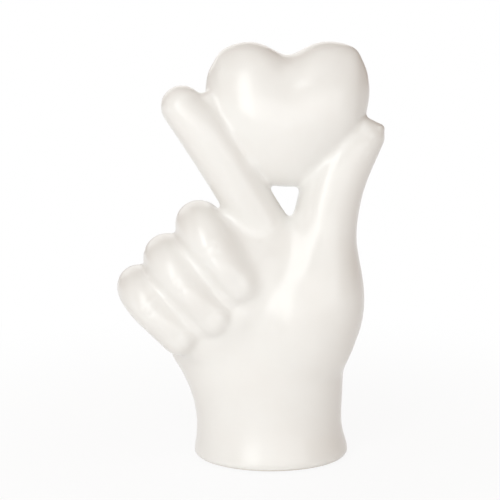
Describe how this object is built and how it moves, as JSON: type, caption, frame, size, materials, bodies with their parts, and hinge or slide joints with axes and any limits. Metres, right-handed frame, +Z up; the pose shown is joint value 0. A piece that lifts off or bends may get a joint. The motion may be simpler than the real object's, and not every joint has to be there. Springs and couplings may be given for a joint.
{
  "type": "ceramic hand sculpture",
  "caption": "Glazed ceramic right hand standing on its wrist, pinching a puffy heart between thumb and index finger.",
  "frame": {"origin": "middle of the felt pad's underside, which is the face that the sculpture stands on", "axes": "+Z up, +X across the palm towards the thumb, +Y from the palm side to the back of the hand"},
  "size_m": [0.1273, 0.064, 0.2015],
  "materials": {
    "hand_glaze": "glossy white glaze over ceramic",
    "heart_glaze": "glossy white glaze over ceramic",
    "bare_ceramic": "unglazed fired ceramic",
    "felt": "short felt"
  },
  "bodies": {
    "root": {"palm_shell": "hand_glaze", "thumb": "hand_glaze", "index_finger": "hand_glaze", "middle_finger": "hand_glaze", "ring_finger": "hand_glaze", "little_finger": "hand_glaze", "heart": "heart_glaze", "base_floor": "bare_ceramic", "felt_pad": "felt"}
  },
  "joints": []
}
